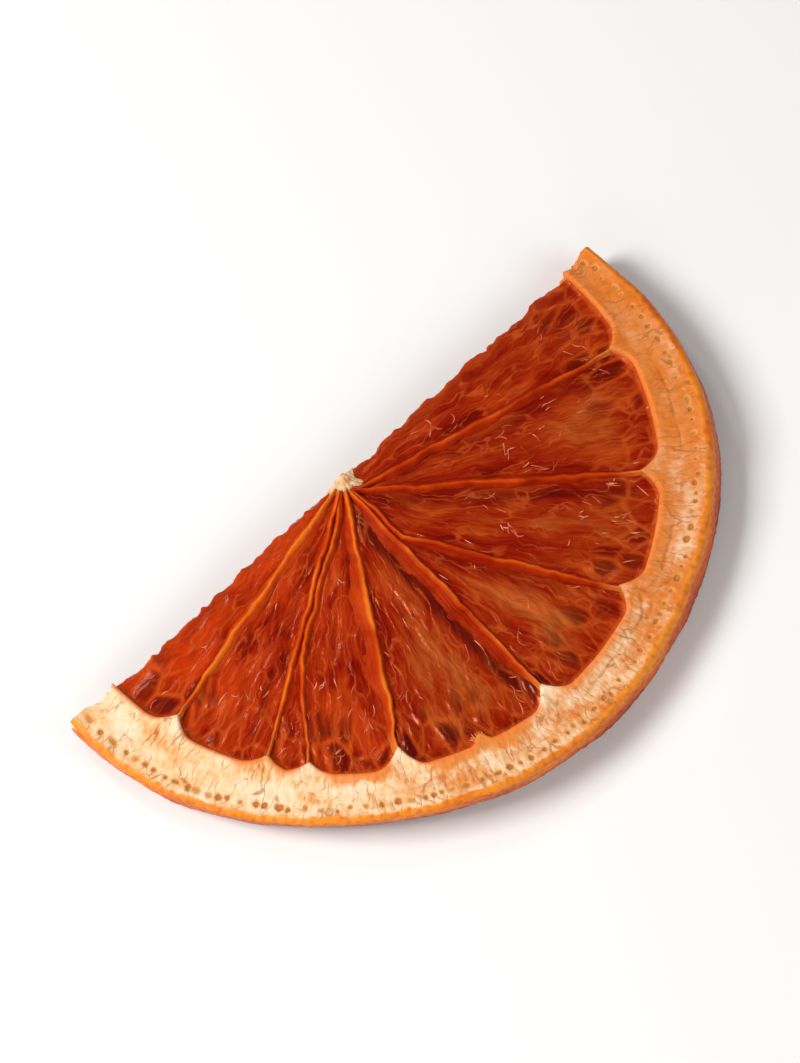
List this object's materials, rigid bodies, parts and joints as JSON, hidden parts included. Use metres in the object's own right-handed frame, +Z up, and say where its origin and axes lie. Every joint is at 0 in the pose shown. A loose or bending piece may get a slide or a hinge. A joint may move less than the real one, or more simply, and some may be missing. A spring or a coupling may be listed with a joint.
{
  "type": "dried grapefruit slice",
  "caption": "Curled dried half slice of citrus fruit: a rind ring with pith round thin translucent flesh, split into segments by upright skins.",
  "frame": {"origin": "middle of the slice's outline, on the surface it lies on", "axes": "+X along the straight cut edge, -Y towards the rind, +Z up out of the wider face"},
  "size_m": [0.0852, 0.0424, 0.0068],
  "materials": {
    "dried_fruit": "matt spongy pith, dimpled orange rind and glassy red flesh"
  },
  "bodies": {
    "root": {"grapefruit_slice": "dried_fruit"}
  },
  "joints": []
}
